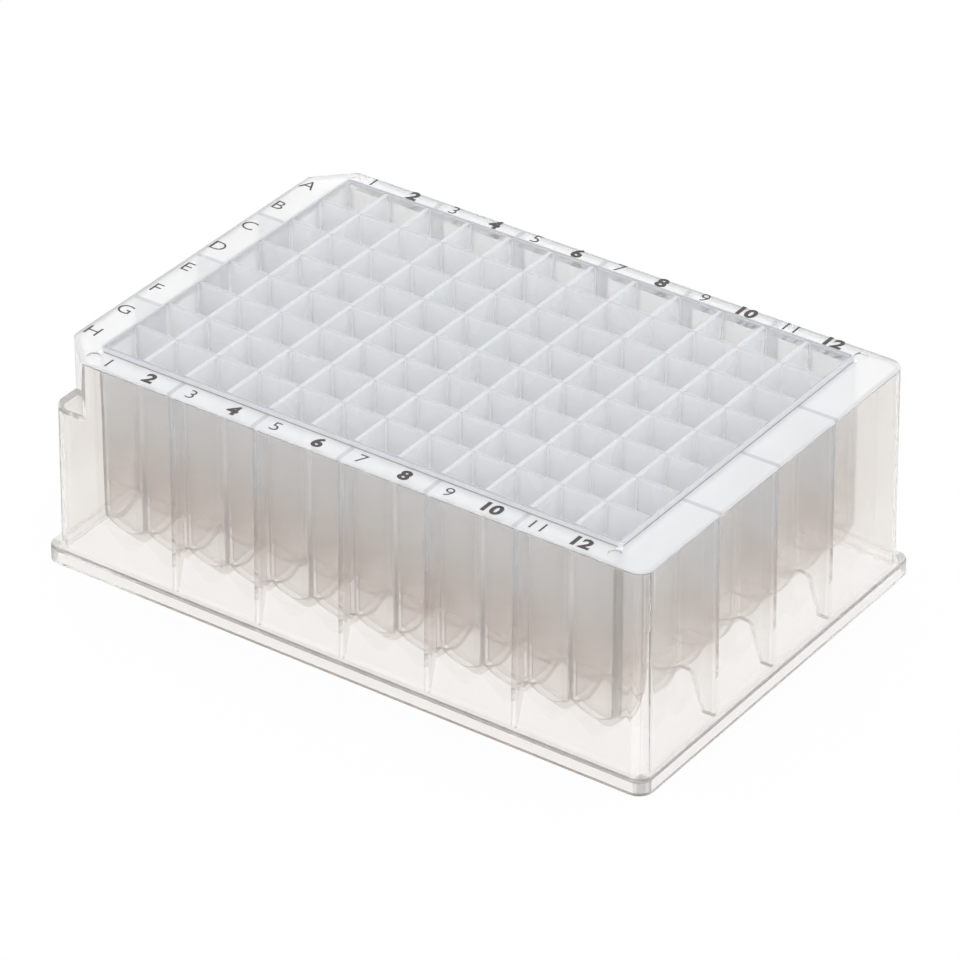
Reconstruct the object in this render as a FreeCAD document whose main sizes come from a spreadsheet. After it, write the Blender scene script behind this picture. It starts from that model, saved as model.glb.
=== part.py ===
import FreeCAD, Part

import math
import os

import Sketcher
from FreeCAD import Vector

# A 96-well deep well plate, injection moulded in one piece of clear polypropylene.
# Millimetres. X runs from column 1 to column 12, Y from row H to row A, Z up.
# The origin is the middle of the footprint, on the surface that the plate stands on.

SIZES = {
    # the array of wells
    "columns": 12,
    "rows": 8,
    "pitch": 9.0,
    "well_web": 0.8,                # wall that two wells share
    "block_wall": 1.0,              # outer wall of the block of wells, below the deck
    "block_corner_radius": 1.1,
    "first_column_offset": 14.38,   # from the edge of the foot to the middle of column 1
    "first_row_offset": 11.24,      # from the edge of the foot to the middle of row A
    # the bottoms of the wells
    "bowl_slope": 47.0,             # of the conical bottom, from level
    "tip_radius": 1.15,
    "tip_height": 3.85,
    "floor_thickness": 1.0,
    # the foot that the plate stands on
    "foot_height": 3.2,
    "foot_ledge": 1.3,
    "foot_wall": 1.2,
    "foot_corner_radius": 3.0,
    "foot_edge_radius": 0.6,
    # the skirt, the deck and the rim round the wells
    "plate_height": 44.0,
    "rim_rise": 1.0,
    "rim_wall": 0.7,
    "deck_thickness": 1.15,
    "deck_edge_radius": 0.5,
    "skirt_wall": 1.15,
    "skirt_draft": 0.9,
    "deck_corner_radius": 2.8,
    # the two notched corners beside column 1
    "notch_leg": 6.7,
    "notch_depth": 11.4,
    # the ribs between the skirt and the block
    "rib_thickness": 0.9,
    "rib_root_height": 9.7,
    "rib_tip_height": 2.3,
    "rib_toe_slope": 16.0,          # of the toe's inner edge, from upright
    "rib_bend_radius": 1.2,
    "long_side_rib_tip": 0.65,      # width of the tip, on the sides along the rows
    "short_side_rib_tip": 2.5,      # and on the sides along the columns
    # the round marks of the four ejector pins in the deck
    "pin_mark_radius": 1.25,
    "pin_mark_depth": 0.3,
    "pin_mark_gap": 1.9,            # from the rim to the middle of a mark
}


class Size:
    """A number that remembers the sheet formula it comes from."""

    def __init__(self, number, formula):
        self.number = number
        self.formula = formula

    def __add__(self, other):
        return combined(self, "+", other, self.number + number_of(other))

    def __sub__(self, other):
        return combined(self, "-", other, self.number - number_of(other))

    def __mul__(self, other):
        return combined(self, "*", other, self.number * number_of(other))

    def __truediv__(self, other):
        return combined(self, "/", other, self.number / number_of(other))

    def __rmul__(self, other):
        return combined(other, "*", self, number_of(other) * self.number)

    def __neg__(self):
        return Size(-self.number, f"(-{self.formula})")


def number_of(value):
    return value.number if isinstance(value, Size) else float(value)


def formula_of(value):
    return value.formula if isinstance(value, Size) else f"{value:.6f}"


def combined(left, sign, right, number):
    return Size(number, f"({formula_of(left)} {sign} {formula_of(right)})")


def tangent(angle):
    return Size(math.tan(math.radians(angle.number)), f"tan({angle.formula})")


def cosine(angle):
    return Size(math.cos(math.radians(angle.number)), f"cos({angle.formula})")


def sine(angle):
    return Size(math.sin(math.radians(angle.number)), f"sin({angle.formula})")


def size(name):
    return Size(float(SIZES[name]), f"Sizes.{name}")


# ---- what follows from the sizes ----

OVERRUN = 1.0                       # how far a cut runs on past the plastic that it cuts

pitch = size("pitch")
columns_span = (size("columns") - 1) * pitch
rows_span = (size("rows") - 1) * pitch
first_x = -columns_span / 2
first_y = -rows_span / 2

foot_x = size("first_column_offset") + columns_span / 2
foot_y = size("first_row_offset") + rows_span / 2
well_side = pitch - size("well_web")
block_x = columns_span / 2 + well_side / 2 + size("block_wall")
block_y = rows_span / 2 + well_side / 2 + size("block_wall")
rim_x = block_x - size("block_wall") + size("rim_wall")
rim_y = block_y - size("block_wall") + size("rim_wall")

deck_top = size("plate_height") - size("rim_rise")
deck_under = deck_top - size("deck_thickness")
notch_floor = deck_top - size("notch_depth")
notch_under = notch_floor - size("deck_thickness")
draft = tangent(size("skirt_draft"))
slope = tangent(size("bowl_slope"))


def skirt_x(height):
    """Half the skirt's length at a height; it widens downwards by its draft."""
    return foot_x - size("foot_ledge") - (height - size("foot_height")) * draft


def skirt_y(height):
    return foot_y - size("foot_ledge") - (height - size("foot_height")) * draft


# ---- the document ----

def make_sheet(doc):
    sheet = doc.addObject("Spreadsheet::Sheet", "Sizes")
    for row, (name, value) in enumerate(SIZES.items(), start=1):
        sheet.set(f"A{row}", name)
        sheet.set(f"B{row}", str(value))
        sheet.setAlias(f"B{row}", name)
    doc.recompute()


def bind(feature, **sizes):
    for name, value in sizes.items():
        feature.setExpression(name, formula_of(value))


def make_body(doc, name):
    body = doc.addObject("PartDesign::Body", name)
    body.Label = name
    return body


def origin_feature(body, role):
    return next(item for item in body.Origin.OriginFeatures if item.Role == role)


def make_sketch(body, name, role, offset):
    """An empty sketch on an origin plane of the body, moved along the plane's normal."""
    sketch = body.newObject("Sketcher::SketchObject", name)
    sketch.AttachmentSupport = [(origin_feature(body, role), "")]
    sketch.MapMode = "FlatFace"
    sketch.setExpression("AttachmentOffset.Base.z", formula_of(offset))
    return sketch


def pin_down(sketch, kind, *where, value):
    """Hold a distance or a radius of the sketch to a size."""
    index = sketch.addConstraint(Sketcher.Constraint(kind, *where, number_of(value)))
    sketch.setExpression(f"Constraints[{index}]", formula_of(value))


def arc_centre(start, end, radius):
    """Centre of the short arc from start to end, on the left of the way when radius > 0."""
    chord = end - start
    side = Vector(-chord.y, chord.x, 0).normalize()
    reach = math.sqrt(radius ** 2 - (chord.Length / 2) ** 2)
    return (start + end) / 2 + side * math.copysign(reach, radius)


def draw_path(sketch, steps):
    """Close a path through its steps (x, y, radius), each corner held to the sheet.

    A radius makes the way to the next step an arc, which turns left when it is positive.
    """
    corners = [Vector(number_of(x), number_of(y), 0) for x, y, radius in steps]
    ends = []
    for place, (x, y, radius) in enumerate(steps):
        start, end = corners[place], corners[(place + 1) % len(steps)]
        if radius is None:
            line = sketch.addGeometry(Part.LineSegment(start, end), False)
            ends.append((line, 1, 2))
            continue
        bend = number_of(radius)
        centre = arc_centre(start, end, bend)
        first, last = (start, end) if bend > 0 else (end, start)
        angles = [math.atan2(point.y - centre.y, point.x - centre.x) for point in (first, last)]
        circle = Part.Circle(centre, Vector(0, 0, 1), abs(bend))
        arc = sketch.addGeometry(Part.ArcOfCircle(circle, *angles), False)
        ends.append((arc, 1, 2) if bend > 0 else (arc, 2, 1))
        pin_down(sketch, "Radius", arc, value=radius if bend > 0 else -radius)
    for place, (x, y, radius) in enumerate(steps):
        edge, begin, finish = ends[place]
        before, _, before_finish = ends[place - 1]
        sketch.addConstraint(Sketcher.Constraint("Coincident", before, before_finish, edge, begin))
        pin_down(sketch, "DistanceX", -1, 1, edge, begin, value=x)
        pin_down(sketch, "DistanceY", -1, 1, edge, begin, value=y)


def draw_rectangle(sketch, x, y):
    draw_path(sketch, [(-x, -y, None), (x, -y, None), (x, y, None), (-x, y, None)])


def draw_rounded_rectangle(sketch, x, y, radius):
    draw_path(sketch, [
        (radius - x, -y, None), (x - radius, -y, radius),
        (x, radius - y, None), (x, y - radius, radius),
        (x - radius, y, None), (radius - x, y, radius),
        (-x, y - radius, None), (-x, radius - y, radius),
    ])


def add_feature(body, kind, name, **sizes):
    feature = body.newObject(f"PartDesign::{kind}", name)
    bind(feature, **sizes)
    return feature


def bind_place(feature, x, y, z):
    for axis, value in (("x", x), ("y", y), ("z", z)):
        feature.setExpression(f"Placement.Base.{axis}", formula_of(value))


def add_from_sketch(body, kind, sketch, name, length, taper=0):
    """A pad or a pocket with its sketch at one end; it goes down when the length is negative."""
    downwards = number_of(length) < 0
    feature = add_feature(body, kind, name, Length=-length if downwards else length, TaperAngle=taper)
    feature.Profile = sketch
    feature.Reversed = downwards == (kind == "Pad")
    return feature


def edges_at(feature, height):
    """Names of the feature's edges that lie level at a height."""
    level = number_of(height)
    names = []
    for index, edge in enumerate(feature.Shape.Edges, start=1):
        if all(abs(corner.Z - level) < 1e-6 for corner in edge.Vertexes):
            names.append(f"Edge{index}")
    return names


def round_edges(body, feature, name, height, radius):
    body.Document.recompute()
    fillet = add_feature(body, "Fillet", name, Radius=radius)
    fillet.Base = (feature, edges_at(feature, height))


def row_on_both_sides(body, feature, name, axis, mirror, count, span):
    """Repeat a feature along an axis, and mirror the row to the other side of the plate."""
    row = add_feature(body, "LinearPattern", f"{name}_row", Occurrences=count, Length=span)
    row.Direction = (origin_feature(body, axis), [""])
    other_side = add_feature(body, "Mirrored", f"{name}_mirror")
    other_side.MirrorPlane = (origin_feature(body, mirror), [""])
    both = add_feature(body, "MultiTransform", name)
    both.Originals = [feature]
    both.Transformations = [row, other_side]
    body.Tip = both


# ---- the shell: foot, skirt and deck ----

def add_foot(body):
    outline = make_sketch(body, "foot_outline", "XY_Plane", 0)
    draw_rounded_rectangle(outline, foot_x, foot_y, size("foot_corner_radius"))
    foot = add_from_sketch(body, "Pad", outline, "foot", size("foot_height"))
    round_edges(body, foot, "foot_edge", size("foot_height"), size("foot_edge_radius"))


def add_skirt(body):
    outline = make_sketch(body, "deck_outline", "XY_Plane", deck_top)
    draw_rounded_rectangle(outline, skirt_x(deck_top), skirt_y(deck_top), size("deck_corner_radius"))
    add_from_sketch(body, "Pad", outline, "skirt", -deck_top, size("skirt_draft"))


def cut_notches(body):
    """Slice off both corners beside column 1, from the deck down to a small ledge."""
    far_x = -skirt_x(deck_top) - OVERRUN
    far_y = skirt_y(deck_top) + OVERRUN
    leg = size("notch_leg") + 2 * OVERRUN
    for name, side in (("notch_a", 1), ("notch_h", -1)):
        outline = make_sketch(body, f"{name}_outline", "XY_Plane", deck_top)
        draw_path(outline, [(far_x, far_y * side, None), (far_x + leg, far_y * side, None),
                            (far_x, (far_y - leg) * side, None)])
        notch = add_from_sketch(body, "Pocket", outline, name, -size("notch_depth"))
    round_edges(body, notch, "deck_edge", deck_top, size("deck_edge_radius"))


def hollow_foot(body):
    wall = size("foot_wall")
    outline = make_sketch(body, "foot_hollow_outline", "XY_Plane", 0)
    draw_rounded_rectangle(outline, foot_x - wall, foot_y - wall, size("foot_corner_radius") - wall)
    add_from_sketch(body, "Pocket", outline, "foot_hollow", size("foot_height") - wall)


def hollow_skirt(body):
    """Below the notches the hollow has four round corners."""
    wall = size("skirt_wall")
    outline = make_sketch(body, "skirt_hollow_outline", "XY_Plane", notch_under)
    draw_rounded_rectangle(outline, skirt_x(notch_under) - wall, skirt_y(notch_under) - wall,
                           size("deck_corner_radius") - wall)
    add_from_sketch(body, "Pocket", outline, "skirt_hollow", -notch_under, size("skirt_draft"))


def hollow_deck(body):
    """Beside the notches the hollow steps in with them."""
    wall = size("skirt_wall")
    x = skirt_x(deck_under) - wall
    y = skirt_y(deck_under) - wall
    radius = size("deck_corner_radius") - wall
    leg = size("notch_leg") - wall * (2 - math.sqrt(2))
    outline = make_sketch(body, "deck_hollow_outline", "XY_Plane", deck_under)
    draw_path(outline, [
        (leg - x, -y, None), (x - radius, -y, radius), (x, radius - y, None),
        (x, y - radius, radius), (x - radius, y, None), (leg - x, y, None),
        (-x, y - leg, None), (-x, leg - y, None),
    ])
    add_from_sketch(body, "Pocket", outline, "deck_hollow", -size("notch_depth"), size("skirt_draft"))


def rib_path(skirt_half, block_half, tip_width):
    """Side view of a rib: out from the middle of the plate, and up."""
    toe = size("rib_toe_slope")
    bend = size("rib_bend_radius")
    tip = size("rib_tip_height")
    root = size("rib_root_height")
    top = deck_under + size("deck_thickness") / 2
    inside_wall = block_half - size("block_wall") / 2
    tip_inner = skirt_half(tip) - size("skirt_wall") - tip_width
    bend_x = tip_inner - (root - bend - tip) * tangent(toe) - bend / cosine(toe)
    bend_z = root - bend
    return [
        (skirt_half(top) - size("skirt_wall") / 2, top, None),
        (skirt_half(tip) - size("skirt_wall") / 2, tip, None),
        (tip_inner, tip, None),
        (bend_x + bend * cosine(toe), bend_z + bend * sine(toe), bend),
        (bend_x, root, None),
        (inside_wall, root, None),
        (inside_wall, top, None),
    ]


def add_rib(body, name, plane, offset, path):
    outline = make_sketch(body, f"{name}_outline", plane, offset)
    draw_path(outline, path)
    rib = add_feature(body, "Pad", name, Length=size("rib_thickness"))
    rib.Profile = outline
    rib.SideType = "Symmetric"
    return rib


def add_ribs(body):
    """One rib for every two wells, between the second and third, the fourth and fifth, and so on."""
    count = size("columns") / 2 - 1
    half_span = (count - 1) * pitch
    path = rib_path(skirt_y, block_y, size("long_side_rib_tip"))
    rib = add_rib(body, "long_side_rib", "YZ_Plane", -half_span, path)
    row_on_both_sides(body, rib, "long_side_ribs", "X_Axis", "XZ_Plane", count, 2 * half_span)

    count = size("rows") / 2 - 1
    half_span = (count - 1) * pitch
    path = rib_path(skirt_x, block_x, size("short_side_rib_tip"))
    rib = add_rib(body, "short_side_rib", "XZ_Plane", half_span, path)
    row_on_both_sides(body, rib, "short_side_ribs", "Y_Axis", "YZ_Plane", count, 2 * half_span)


def mark_pins(body):
    """The shallow round marks of four ejector pins, beside the corners of the rim."""
    outline = make_sketch(body, "pin_mark_outline", "XY_Plane", deck_top)
    y = rim_y + size("pin_mark_gap")
    radius = number_of(size("pin_mark_radius"))
    for x_side, y_side in ((1, 1), (-1, 1), (-1, -1), (1, -1)):
        x_here, y_here = rim_x * x_side, y * y_side
        centre = Vector(number_of(x_here), number_of(y_here), 0)
        circle = outline.addGeometry(Part.Circle(centre, Vector(0, 0, 1), radius), False)
        pin_down(outline, "Radius", circle, value=size("pin_mark_radius"))
        pin_down(outline, "DistanceX", -1, 1, circle, 3, value=x_here)
        pin_down(outline, "DistanceY", -1, 1, circle, 3, value=y_here)
    add_from_sketch(body, "Pocket", outline, "pin_marks", -size("pin_mark_depth"))


def make_shell(doc):
    body = make_body(doc, "shell")
    add_foot(body)
    add_skirt(body)
    cut_notches(body)
    hollow_foot(body)
    hollow_skirt(body)
    hollow_deck(body)
    add_ribs(body)
    mark_pins(body)
    return body


# ---- the block of wells ----

def grid_pattern(body, name, originals=()):
    """Repeat features at every well, or the whole body when none are named."""
    body.Document.recompute()
    pattern = add_feature(body, "LinearPattern", name, Occurrences=size("columns"),
                          Length=columns_span, Occurrences2=size("rows"), Length2=rows_span)
    pattern.Originals = list(originals)
    pattern.TransformMode = "Features" if originals else "Whole shape"
    pattern.Direction = (origin_feature(body, "X_Axis"), [""])
    pattern.Direction2 = (origin_feature(body, "Y_Axis"), [""])
    body.Tip = pattern


def make_block(doc):
    """A slab over a grid of cones, which meet along the lines between the wells."""
    body = make_body(doc, "block")
    tip = size("tip_radius")
    reach = (block_x + first_x) * math.sqrt(2) + size("well_web")
    rise = (reach - tip) * slope
    slab_under = size("tip_height") + rise

    outline = make_sketch(body, "block_outline", "XY_Plane", slab_under)
    corner = size("block_corner_radius")
    draw_rounded_rectangle(outline, block_x, block_y, corner)
    add_from_sketch(body, "Pad", outline, "slab", deck_top - slab_under)

    rim_outline = make_sketch(body, "rim_outline", "XY_Plane", deck_top)
    draw_rounded_rectangle(rim_outline, rim_x, rim_y, corner + rim_x - block_x)
    add_from_sketch(body, "Pad", rim_outline, "rim", size("rim_rise"))

    cup = add_feature(body, "AdditiveCone", "cup", Radius1=tip, Radius2=reach, Height=rise)
    bind_place(cup, first_x, first_y, size("tip_height"))
    grid_pattern(body, "cups", [cup])

    flare_outline = make_sketch(body, "flare_outline", "XY_Plane", slab_under)
    draw_rounded_rectangle(flare_outline, block_x, block_y, corner)
    draw_rectangle(flare_outline, block_x + reach, block_y + reach)
    add_from_sketch(body, "Pocket", flare_outline, "flare", -rise)
    return body


def make_cores(doc):
    """The space inside every well: square, on a cone that keeps the floor's thickness."""
    body = make_body(doc, "cores")
    body.AllowCompound = True
    bind_place(body, first_x, first_y, 0)
    floor = size("floor_thickness")
    bottom = size("tip_height") + floor
    radius = size("tip_radius") + (floor - floor / cosine(size("bowl_slope"))) / slope
    height = size("plate_height") + OVERRUN - bottom

    well = add_feature(body, "AdditiveBox", "well", Length=well_side, Width=well_side, Height=height)
    bind_place(well, -well_side / 2, -well_side / 2, bottom)
    outline = make_sketch(body, "bowl_outline", "XZ_Plane", 0)
    draw_path(outline, [(radius, bottom, None), (radius + well_side, bottom, None),
                        (radius + well_side, bottom + well_side * slope, None)])
    bowl = add_feature(body, "Groove", "bowl")
    bowl.Profile = outline
    bowl.ReferenceAxis = (origin_feature(body, "Z_Axis"), [""])
    bowl.Angle = 360
    grid_pattern(body, "wells")
    return body


def make_plate(doc):
    moulding = doc.addObject("Part::MultiFuse", "moulding")
    moulding.Shapes = [make_shell(doc), make_block(doc)]
    plate = doc.addObject("Part::Cut", "well_plate")
    plate.Label = "well_plate"
    plate.Base = moulding
    plate.Tool = make_cores(doc)
    return plate


def export(doc, plate):
    doc.recompute()
    for item in doc.Objects:
        if {"Invalid", "Error"} & set(item.State):
            raise RuntimeError(f"{item.Label} failed to rebuild")
    if plate.Shape.isNull() or not plate.Shape.isValid() or len(plate.Shape.Solids) != 1:
        raise RuntimeError(f"{plate.Label} isn't one sound solid")
    os.makedirs("parts", exist_ok=True)
    plate.Shape.exportStep(f"parts/{plate.Label}.step")


doc = FreeCAD.newDocument("well_plate")
make_sheet(doc)
export(doc, make_plate(doc))
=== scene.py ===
import math

import bpy
from mathutils import Matrix, Vector


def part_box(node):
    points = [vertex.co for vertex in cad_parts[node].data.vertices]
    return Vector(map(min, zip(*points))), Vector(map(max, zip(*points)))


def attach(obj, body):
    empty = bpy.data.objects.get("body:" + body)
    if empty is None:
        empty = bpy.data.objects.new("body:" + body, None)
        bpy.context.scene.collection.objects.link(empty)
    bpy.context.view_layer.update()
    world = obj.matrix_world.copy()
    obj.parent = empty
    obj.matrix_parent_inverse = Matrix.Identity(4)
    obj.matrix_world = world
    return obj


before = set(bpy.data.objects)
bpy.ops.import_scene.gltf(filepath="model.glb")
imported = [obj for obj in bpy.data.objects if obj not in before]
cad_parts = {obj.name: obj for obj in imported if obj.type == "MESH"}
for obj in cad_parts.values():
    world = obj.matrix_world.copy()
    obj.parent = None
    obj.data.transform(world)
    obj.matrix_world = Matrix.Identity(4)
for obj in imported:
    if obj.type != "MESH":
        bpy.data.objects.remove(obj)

# A 96-well deep well plate of natural polypropylene, with its rows and columns marked in ink.
# Metres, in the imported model's frame: +X towards column 12, +Y towards row A, +Z up.

MM = 0.001

# the plate's own sizes, and where its deck, block and wells are
PITCH = 9.0 * MM
WEB = 0.8 * MM
WALL = 1.0 * MM
COLUMNS, ROWS = 12, 8
RIM_RISE, RIM_WALL = 1.0 * MM, 0.7 * MM
LOW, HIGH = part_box("well_plate")
DECK_TOP = HIGH.z - RIM_RISE
DECK_X, DECK_Y = 62.1 * MM, 41.0 * MM
SKIRT_WALL = 1.15 * MM
DRAFT = math.tan(math.radians(0.9))
RIB = 0.9 * MM
RIB_REACH = 5 * PITCH, 3 * PITCH      # the ribs stand no farther than this from the middle of a side
FIRST_X = -(COLUMNS - 1) / 2 * PITCH
FIRST_Y = (ROWS - 1) / 2 * PITCH
BLOCK_X = COLUMNS / 2 * PITCH - WEB / 2 + WALL
BLOCK_Y = ROWS / 2 * PITCH - WEB / 2 + WALL

REFRACTION = 1.49
SLACK, HAIR = 0.05 * MM, 0.02 * MM


# ---- node tools ----

def new_material(name):
    material = bpy.data.materials.new(name)
    material.use_nodes = True
    return material, material.node_tree.nodes["Principled BSDF"]


def feed(tree, socket, value):
    """Sets a socket to a number or a colour, or links another socket to it."""
    if isinstance(value, bpy.types.NodeSocket):
        tree.links.new(value, socket)
    elif isinstance(value, tuple):
        socket.default_value = (*value, 1)
    else:
        socket.default_value = value


def maths(tree, operation, *values):
    node = tree.nodes.new("ShaderNodeMath")
    node.operation = operation
    for socket, value in zip(node.inputs, values):
        feed(tree, socket, value)
    return node.outputs[0]


def ramp(tree, value, start, end, low=0.0, high=1.0):
    node = tree.nodes.new("ShaderNodeMapRange")
    node.interpolation_type = "SMOOTHSTEP"
    for name, number in (("Value", value), ("From Min", start), ("From Max", end),
                         ("To Min", low), ("To Max", high)):
        feed(tree, node.inputs[name], number)
    return node.outputs["Result"]


def blend(tree, share, first, second):
    node = tree.nodes.new("ShaderNodeMix")
    node.data_type = "RGBA"
    for socket, value in ((node.inputs[0], share), (node.inputs[6], first), (node.inputs[7], second)):
        feed(tree, socket, value)
    return node.outputs[2]


def past(tree, value, limit):
    return maths(tree, "GREATER_THAN", value, limit)


def below(tree, value, limit):
    return maths(tree, "LESS_THAN", value, limit)


def both(tree, first, second):
    return maths(tree, "MULTIPLY", first, second)


def either(tree, first, second):
    return maths(tree, "MAXIMUM", first, second)


def rest_of(tree, share):
    return maths(tree, "SUBTRACT", 1.0, share)


def absolute(tree, value):
    return maths(tree, "ABSOLUTE", value)


def place_on(tree):
    """How far along, across and up the plate a point is."""
    place = tree.nodes.new("ShaderNodeSeparateXYZ")
    tree.links.new(tree.nodes.new("ShaderNodeTexCoord").outputs["Object"], place.inputs[0])
    return place.outputs


def make_patches():
    """Slow, uneven patches, as plastic freezes in a mould or ink dries."""
    group = bpy.data.node_groups.new("uneven_patches", "ShaderNodeTree")
    for name in ("Scale", "Detail"):
        group.interface.new_socket(name=name, in_out="INPUT", socket_type="NodeSocketFloat")
    group.interface.new_socket(name="Patches", in_out="OUTPUT", socket_type="NodeSocketFloat")
    given, result = group.nodes.new("NodeGroupInput"), group.nodes.new("NodeGroupOutput")
    noise = group.nodes.new("ShaderNodeTexNoise")
    group.links.new(group.nodes.new("ShaderNodeTexCoord").outputs["Object"], noise.inputs["Vector"])
    group.links.new(given.outputs["Scale"], noise.inputs["Scale"])
    group.links.new(given.outputs["Detail"], noise.inputs["Detail"])
    group.links.new(ramp(group, noise.outputs[0], 0.3, 0.7), result.inputs["Patches"])
    return group


PATCHES = make_patches()


def patches(tree, scale, detail=1.0):
    node = tree.nodes.new("ShaderNodeGroup")
    node.node_tree = PATCHES
    node.inputs["Scale"].default_value = scale
    node.inputs["Detail"].default_value = detail
    return node.outputs["Patches"]


def set_surface(tree, shader, colour, uneven, roughness):
    """Gives a finish its colour, and a roughness that wanders between two values."""
    tree.links.new(colour, shader.inputs["Base Color"])
    tree.links.new(ramp(tree, uneven, 0.0, 1.0, *roughness), shader.inputs["Roughness"])


def look_through(material, shader, cover, tint):
    """Lets what the plastic doesn't bend or scatter straight through, tinted a little at each face."""
    tree = material.node_tree
    shader.inputs["IOR"].default_value = REFRACTION
    clear = tree.nodes.new("ShaderNodeBsdfTransparent")
    clear.inputs["Color"].default_value = (*tint, 1)
    mix = tree.nodes.new("ShaderNodeMixShader")
    feed(tree, mix.inputs[0], cover)
    tree.links.new(clear.outputs[0], mix.inputs[1])
    tree.links.new(shader.outputs[0], mix.inputs[2])
    tree.links.new(mix.outputs[0], tree.nodes["Material Output"].inputs["Surface"])


# ---- finishes ----

# the natural plastic, cool where it is milky and warm towards the tips, that warmth partly its own tint and
# partly painted light from below; painted shade on its lines and the block's edges
COOL = (0.98, 0.99, 1.0)
WARM_TINT_AND_FLOOR_BOUNCE = (0.89, 0.748, 0.655)
LINE_SHADE = (0.3, 0.25, 0.22)
OUTER_LINE_SHADE = (0.38, 0.33, 0.3)
EDGE_SHADE = (0.42, 0.39, 0.37)
BLOCK_TINT = (0.9995, 0.9985, 0.9965)

# painted light and shade on the tops of the webs and of the rim, lighter or darker by direction as they
# catch the light; painted shade on the rim's side, darkest in its crease with the deck
CROSS_WEB_TOP_HIGHLIGHT = (0.67, 0.675, 0.69)
LONG_WEB_TOP_SHADE = (0.54, 0.545, 0.56)
END_RIM_TOP_HIGHLIGHT = (0.63, 0.635, 0.65)
LONG_RIM_TOP_SHADE = (0.48, 0.48, 0.495)
LIP_SHADE, LIP_WIDTH = (0.36, 0.36, 0.375), 0.2 * MM
RIM_SIDE_SHADE = (0.8, 0.8, 0.815)
CREASE_SHADE, CREASE_SHADE_HEIGHT = (0.42, 0.42, 0.435), 0.25 * MM

# how much of the light each part of the block scatters
TIP_HAZE, WALL_HAZE = 0.08, 0.4
LINE_HAZE, OUTER_LINE_HAZE = 0.35, 0.25
RIM_HAZE, RIB_HAZE, MOST_HAZE = 0.9, 0.9, 0.97

# the heights between which the block turns milky or cool, and its painted line shade fades out
WALL_MILKY = 8 * MM, 24 * MM
RIB_MILKY = 14 * MM, 26 * MM
WALL_COOL = 10 * MM, 32 * MM
LINE_SHADE_FADE = 12 * MM, 38 * MM
OUTER_LINE_SHADE_FADE = 12 * MM, 34 * MM

# the clear skirt and foot, and the deck, with painted grey shade at the skirt's upright corners and in bands
# on the deck
SKIRT_COVER = 0.88
SKIRT_TINT = (0.995, 0.985, 0.97)
THIN_SKIRT = ((1.0, 0.978, 0.953), (0.993, 0.965, 0.938))
SKIRT_CORNER_SHADE = (0.55, 0.53, 0.52)
THIN_DECK = ((0.99, 0.985, 0.98), (0.97, 0.965, 0.96))
DECK_BAND_SHADE = (0.74, 0.735, 0.75)
SKIRT_GLASSY, DECK_GLASSY = 0.96, 0.42

# each finish is smoother in some places than in others
BLOCK_ROUGHNESS = 0.22, 0.28
SKIRT_ROUGHNESS = 0.04, 0.08
DECK_ROUGHNESS = 0.12, 0.2
INK_ROUGHNESS = 0.45, 0.65
INK_BLACK = ((0.045, 0.035, 0.032), (0.09, 0.07, 0.064))


def web_lines(tree, from_cross_web, from_long_web):
    """The ends of the webs on the walls and their tops, and the corners of the wells."""
    on_web = ramp(tree, maths(tree, "MINIMUM", from_cross_web, from_long_web),
                  WEB / 2 - 0.12 * MM, WEB / 2 - HAIR, 1.0, 0.0)
    at_corner = ramp(tree, either(tree, from_cross_web, from_long_web),
                     WEB / 2 + 0.1 * MM, WEB / 2 + 0.3 * MM, 1.0, 0.0)
    return either(tree, on_web, at_corner)


def block_edge(tree, far_x, far_y, height, from_inside):
    """The block's upright edges, where a wall is seen end on, from outside and below the deck. They get
    painted grey shade.
    """
    width, depth = 1.2 * MM, 0.6 * MM
    edge = either(tree, both(tree, past(tree, far_x, BLOCK_X - width), past(tree, far_y, BLOCK_Y - depth)),
                  both(tree, past(tree, far_y, BLOCK_Y - width), past(tree, far_x, BLOCK_X - depth)))
    under_deck = below(tree, height, DECK_TOP - SKIRT_WALL)
    return both(tree, edge, both(tree, under_deck, rest_of(tree, from_inside)))


def beyond(tree, far_x, far_y, step):
    """What lies farther out than the inner face of the block's outer wall, by a step."""
    return either(tree, past(tree, far_x, BLOCK_X - WALL + step), past(tree, far_y, BLOCK_Y - WALL + step))


def block_haze(tree, height, web, outside, in_rib, rim_side):
    """How much of the light is scattered: most where the block is thick, least towards its tips."""
    line_haze = maths(tree, "MULTIPLY_ADD", outside, OUTER_LINE_HAZE, LINE_HAZE)
    rib_haze = both(tree, in_rib, ramp(tree, height, *RIB_MILKY, 0.0, RIB_HAZE))
    haze = ramp(tree, height, *WALL_MILKY, TIP_HAZE, WALL_HAZE)
    haze = maths(tree, "MULTIPLY_ADD", web, line_haze, haze)
    haze = either(tree, either(tree, haze, rib_haze), both(tree, rim_side, RIM_HAZE))
    return maths(tree, "MINIMUM", haze, MOST_HAZE)


def clear_when_square_on(tree):
    """All of the light that isn't scattered goes straight through, or half of it where a face is edge-on."""
    edge_on = tree.nodes.new("ShaderNodeLayerWeight")
    edge_on.inputs["Blend"].default_value = 0.5
    slant = maths(tree, "POWER", edge_on.outputs["Facing"], 3.0)
    return maths(tree, "MULTIPLY_ADD", slant, -0.5, 1.0)


def painted_line_shade(tree, height, outside, edge):
    """Painted shade on the lines: darkest near the tips, where light piped down the webs runs out, and
    nearly gone in the milky plastic higher up. The block's upright edges get a painted grey shade.
    """
    line = blend(tree, ramp(tree, height, *LINE_SHADE_FADE), LINE_SHADE, COOL)
    outer_line = blend(tree, ramp(tree, height, *OUTER_LINE_SHADE_FADE), OUTER_LINE_SHADE, COOL)
    return blend(tree, edge, blend(tree, outside, line, outer_line), EDGE_SHADE)


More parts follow.
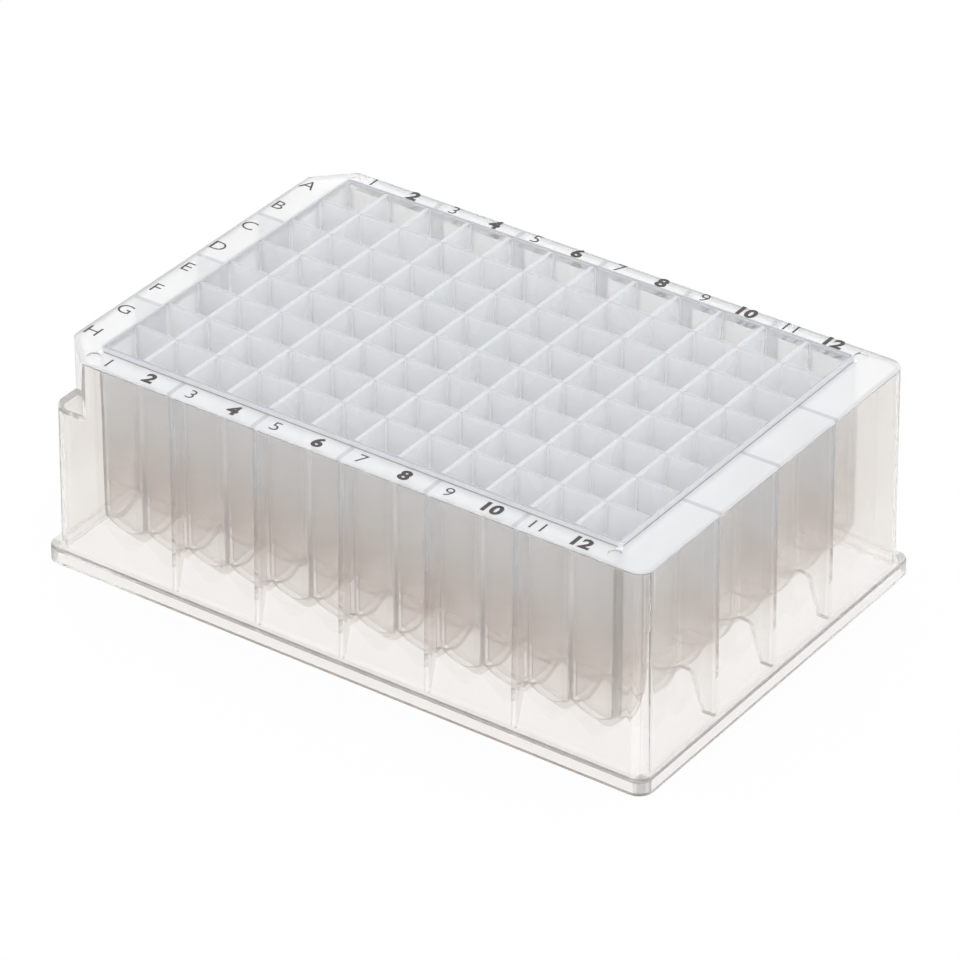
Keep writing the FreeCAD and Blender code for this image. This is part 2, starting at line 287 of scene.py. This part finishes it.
def painted_top_light(tree, far_x, far_y, from_cross_web, from_long_web):
    """Painted light and shade on the tops of the webs and the rim: lighter on the cross webs and end rims,
    as where they catch the light, and darker on the long ones. The rim's inner lip is painted darkest, as
    shade.
    """
    lip = both(tree, beyond(tree, far_x, far_y, 0.0), rest_of(tree, beyond(tree, far_x, far_y, LIP_WIDTH)))
    top = blend(tree, past(tree, from_cross_web, from_long_web), CROSS_WEB_TOP_HIGHLIGHT, LONG_WEB_TOP_SHADE)
    top = blend(tree, past(tree, far_y, BLOCK_Y - WALL), top, LONG_RIM_TOP_SHADE)
    top = blend(tree, past(tree, far_x, BLOCK_X - WALL), top, END_RIM_TOP_HIGHLIGHT)
    return blend(tree, lip, top, LIP_SHADE)


def milky_polypropylene():
    """The well block and the ribs, which cooled slowly: milky above and clearer towards the tips. They are
    also warmer towards the tips, partly the plastic's own tint and partly painted warm light bounced up from
    the floor.

    Where webs meet or run into a wall the plastic is thickest, and shows as a line of painted shade: dark
    near the tips, where light piped down the webs runs out, and pale higher up.
    """
    material, shader = new_material("milky_polypropylene")
    tree = material.node_tree
    along, across, height = place_on(tree)
    far_x, far_y = absolute(tree, along), absolute(tree, across)
    from_cross_web, from_long_web = (maths(tree, "PINGPONG", axis, PITCH / 2) for axis in (along, across))
    from_inside = tree.nodes.new("ShaderNodeNewGeometry").outputs["Backfacing"]

    edge = block_edge(tree, far_x, far_y, height, from_inside)
    web = either(tree, web_lines(tree, from_cross_web, from_long_web), edge)
    outside = beyond(tree, far_x, far_y, WALL - HAIR)
    in_rib = both(tree, beyond(tree, far_x, far_y, WALL + SLACK), from_inside)
    rim_side = both(tree, past(tree, height, DECK_TOP), beyond(tree, far_x, far_y, RIM_WALL - HAIR))
    crease_shade = both(tree, rim_side, below(tree, height, DECK_TOP + CREASE_SHADE_HEIGHT))

    # warmer towards the tips: partly the plastic's own tint, partly painted warm light from the floor below
    wall = blend(tree, ramp(tree, height, *WALL_COOL), WARM_TINT_AND_FLOOR_BOUNCE, COOL)
    # painted shade on the lines and edges, and painted light and shade on the tops
    line = blend(tree, past(tree, height, HIGH.z - 0.1 * MM), painted_line_shade(tree, height, outside, edge),
                 painted_top_light(tree, far_x, far_y, from_cross_web, from_long_web))
    # painted shade on the rim's outer side, darkest in the crease where it meets the deck
    colour = blend(tree, rim_side, blend(tree, web, wall, line), RIM_SIDE_SHADE)
    colour = blend(tree, crease_shade, colour, CREASE_SHADE)
    set_surface(tree, shader, colour, patches(tree, 120), BLOCK_ROUGHNESS)
    scattered = block_haze(tree, height, web, outside, in_rib, rim_side)
    clear_share = both(tree, rest_of(tree, scattered), clear_when_square_on(tree))
    look_through(material, shader, rest_of(tree, clear_share), BLOCK_TINT)
    return material


def clear_polypropylene():
    """The thin skirt and foot, which cooled fast and stayed clear: slightly rippled by the flow.

    The upright corners are thicker, and get painted grey shade, standing in for the light their rounded
    edges bend away.
    """
    material, shader = new_material("clear_polypropylene")
    tree = material.node_tree
    along, across, height = place_on(tree)
    past_side = []
    for axis, edge in ((along, DECK_X), (across, DECK_Y)):
        upright = maths(tree, "MULTIPLY_ADD", height, DRAFT, absolute(tree, axis))
        past_side.append(maths(tree, "SUBTRACT", upright, edge + DECK_TOP * DRAFT))
    # painted grey shade at the skirt's upright corners
    corner = ramp(tree, maths(tree, "MINIMUM", *past_side), -1.3 * MM, -1.0 * MM)
    ripple = patches(tree, 90)
    thin = blend(tree, ripple, *THIN_SKIRT)
    set_surface(tree, shader, blend(tree, corner, thin, SKIRT_CORNER_SHADE), ripple, SKIRT_ROUGHNESS)
    shader.inputs["Transmission Weight"].default_value = SKIRT_GLASSY
    look_through(material, shader, SKIRT_COVER, SKIRT_TINT)
    return material


def deck_polypropylene():
    """The deck's upper side, with the fine matt finish that takes the print.

    It is thicker over the ribs, and over the skirt's wall, and there it gets painted grey shade, standing in
    for how the plastic below shows through; over the wall only where that is on the far side of the plate
    from the viewer.
    """
    material, shader = new_material("deck_polypropylene")
    tree = material.node_tree
    axes = place_on(tree)[:2]
    from_middle = [absolute(tree, axis) for axis in axes]
    to_viewer = tree.nodes.new("ShaderNodeSeparateXYZ")
    tree.links.new(tree.nodes.new("ShaderNodeNewGeometry").outputs["Incoming"], to_viewer.inputs[0])
    over_rib, over_wall = [], []
    for axis, beside, reach in zip(axes, from_middle, RIB_REACH):
        from_rib = maths(tree, "PINGPONG", axis, PITCH)
        stripe = ramp(tree, from_rib, RIB / 2 - 0.1 * MM, RIB / 2 + 0.15 * MM, 1.0, 0.0)
        over_rib.append(both(tree, stripe, below(tree, beside, reach)))
    for axis, beside, edge, view in zip(axes, from_middle, (DECK_X, DECK_Y), to_viewer.outputs):
        border = ramp(tree, beside, edge - SKIRT_WALL - 0.15 * MM, edge - SKIRT_WALL + 0.15 * MM)
        over_wall.append(both(tree, border, below(tree, both(tree, axis, view), 0.0)))
    # painted grey shade where the ribs, and the skirt's wall on the side away from the viewer, show through
    # the deck
    band_shade = either(tree, either(tree, *over_rib), either(tree, *over_wall))
    grain = patches(tree, 60)
    thin = blend(tree, grain, *THIN_DECK)
    set_surface(tree, shader, blend(tree, band_shade, thin, DECK_BAND_SHADE), grain, DECK_ROUGHNESS)
    shader.inputs["Transmission Weight"].default_value = DECK_GLASSY
    look_through(material, shader, SKIRT_COVER, SKIRT_TINT)
    return material


def marking_ink():
    """Black ink, a little uneven where it dried."""
    material, shader = new_material("marking_ink")
    tree = material.node_tree
    coat = patches(tree, 900, 2.0)
    set_surface(tree, shader, blend(tree, coat, *INK_BLACK), coat, INK_ROUGHNESS)
    return material


# ---- markings ----

INK_THICKNESS = 0.02 * MM
FRONT_Y, BACK_Y = -38.5 * MM, 39.2 * MM
LETTER_X = -59.7 * MM
PRINT_SHIFT = -1.2 * MM
THIN_SIZE, BOLD_SIZE, LETTER_SIZE = 3.7 * MM, 3.8 * MM, 4.0 * MM
THIN, BOLD = -0.025 * MM, 0.16 * MM
STRETCH = 1.12


def add_marking(text, name, x, y, size, weight, finish):
    """Ink lettering on the deck, upright for someone at the row H side, centred on x and y."""
    bpy.ops.object.select_all(action="DESELECT")
    bpy.ops.object.text_add()
    label = bpy.context.object
    label.name = name
    label.data.body = text
    label.data.size = size
    label.data.offset = weight
    label.data.extrude = INK_THICKNESS / 2
    label.data.resolution_u = 4
    bpy.ops.object.convert(target="MESH")
    label = bpy.context.object
    middle = sum((Vector(corner) for corner in label.bound_box), Vector()) / 8
    label.data.transform(Matrix.Translation((x, y, DECK_TOP + INK_THICKNESS / 2))
                         @ Matrix.Diagonal((STRETCH, 1, 1, 1)) @ Matrix.Translation(-middle))
    label.data.materials.append(finish)
    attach(label, "root")


def add_markings():
    ink = marking_ink()
    for column in range(COLUMNS):
        x = FIRST_X + PITCH * column + PRINT_SHIFT
        bold = column % 2 == 1
        size, weight = (BOLD_SIZE, BOLD) if bold else (THIN_SIZE, THIN)
        for side, y in (("front", FRONT_Y), ("back", BACK_Y)):
            add_marking(str(column + 1), f"number_{side}_{column + 1}", x, y, size, weight, ink)
    for row in range(ROWS):
        letter = "ABCDEFGH"[row]
        add_marking(letter, f"letter_{letter}", LETTER_X, FIRST_Y - PITCH * row, LETTER_SIZE, THIN, ink)


# ---- studio ----

FLOOR_WHITE = (0.9, 0.89, 0.88)
FLOOR_GLOW = 0.95
SKY, OVERHEAD = (0.95, 0.97, 1.0), 1.4
CAMERA_AZIMUTH, CAMERA_ELEVATION = math.radians(35.13), math.radians(32.42)
CAMERA_DISTANCE = 985.8 * MM
AIM_RIGHT, AIM_UP = 0.43 * MM, 14.85 * MM
LENS = 208.7


def add_floor():
    """A white table, which glows for the camera and keeps a trace of the plate's shadow."""
    bpy.ops.object.select_all(action="DESELECT")
    bpy.ops.mesh.primitive_plane_add(size=6.0, location=(0, 0, LOW.z - HAIR))
    floor = bpy.context.object
    floor.name = "floor"
    material, shader = new_material("floor_white")
    shader.inputs["Base Color"].default_value = (*FLOOR_WHITE, 1)
    shader.inputs["Roughness"].default_value = 0.9
    tree = material.node_tree
    glow = tree.nodes.new("ShaderNodeEmission")
    glow.inputs["Strength"].default_value = 1.0
    path = tree.nodes.new("ShaderNodeLightPath").outputs
    bounced = either(tree, path["Is Glossy Ray"], path["Is Transmission Ray"])
    seen = either(tree, path["Is Camera Ray"], bounced)
    mix = tree.nodes.new("ShaderNodeMixShader")
    tree.links.new(both(tree, seen, FLOOR_GLOW), mix.inputs[0])
    tree.links.new(shader.outputs[0], mix.inputs[1])
    tree.links.new(glow.outputs[0], mix.inputs[2])
    tree.links.new(mix.outputs[0], tree.nodes["Material Output"].inputs["Surface"])
    floor.data.materials.append(material)


def add_world():
    """Soft light from all round, a little stronger from overhead, as from a soft box."""
    world = bpy.data.worlds.new("studio")
    bpy.context.scene.world = world
    world.use_nodes = True
    tree = world.node_tree
    upward = tree.nodes.new("ShaderNodeSeparateXYZ")
    tree.links.new(tree.nodes.new("ShaderNodeTexCoord").outputs["Generated"], upward.inputs[0])
    background = tree.nodes["Background"]
    background.inputs["Color"].default_value = (*SKY, 1)
    tree.links.new(ramp(tree, upward.outputs["Z"], 0.3, 0.95, 1.0, OVERHEAD), background.inputs["Strength"])
    world.cycles.sampling_method = "NONE"


def add_camera():
    """Looks down on the corner at H12 from far off."""
    right = Vector((math.cos(CAMERA_AZIMUTH), math.sin(CAMERA_AZIMUTH), 0))
    back = Vector((math.sin(CAMERA_AZIMUTH) * math.cos(CAMERA_ELEVATION),
                   -math.cos(CAMERA_AZIMUTH) * math.cos(CAMERA_ELEVATION), math.sin(CAMERA_ELEVATION)))
    up = back.cross(right)
    aim = right * AIM_RIGHT + up * AIM_UP
    data = bpy.data.cameras.new("camera")
    data.lens = LENS
    data.sensor_width = 36
    data.clip_start, data.clip_end = 0.05, 20
    camera = bpy.data.objects.new("camera", data)
    bpy.context.scene.collection.objects.link(camera)
    camera.location = aim + back * CAMERA_DISTANCE
    camera.rotation_mode = "QUATERNION"
    camera.rotation_quaternion = (-back).to_track_quat("-Z", "Y")
    bpy.context.scene.camera = camera


# ---- the plate ----

MILKY, CLEAR, DECK = range(3)
DECK_EDGE = 0.55 * MM
RIB_LOW, RIB_HIGH = 2.5 * MM, DECK_TOP - 1.0 * MM
UPWARD, SQUARE_ON = 0.2, 0.98


def finish_of(face):
    """The block and the ribs are milky, the deck's upper side is matt, and the rest is clear."""
    x, y, z = abs(face.center.x), abs(face.center.y), face.center.z
    if x < BLOCK_X + SLACK and y < BLOCK_Y + SLACK:
        return MILKY
    if z > DECK_TOP - DECK_EDGE and face.normal.z > UPWARD:
        return DECK
    side_rib = abs(face.normal.x) > SQUARE_ON and x < RIB_REACH[0]
    end_rib = abs(face.normal.y) > SQUARE_ON and y < RIB_REACH[1]
    if (side_rib or end_rib) and RIB_LOW < z < RIB_HIGH:
        return MILKY
    return CLEAR


def dress_plate():
    """Round surfaces shade smoothly, and corners stay crisp."""
    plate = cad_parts["well_plate"]
    weld = plate.modifiers.new("weld", "WELD")
    weld.merge_threshold = 0.001 * MM
    split = plate.modifiers.new("crisp_corners", "EDGE_SPLIT")
    split.split_angle = math.radians(28)
    plate.data.materials.clear()
    for finish in (milky_polypropylene(), clear_polypropylene(), deck_polypropylene()):
        plate.data.materials.append(finish)
    for face in plate.data.polygons:
        face.use_smooth = True
        face.material_index = finish_of(face)


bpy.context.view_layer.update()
dress_plate()
add_markings()
add_floor()
add_world()
add_camera()
scene = bpy.context.scene
scene.view_settings.view_transform = "Standard"
scene.cycles.max_bounces = 20
scene.cycles.diffuse_bounces = 16
scene.cycles.transmission_bounces = 20
scene.cycles.transparent_max_bounces = 64
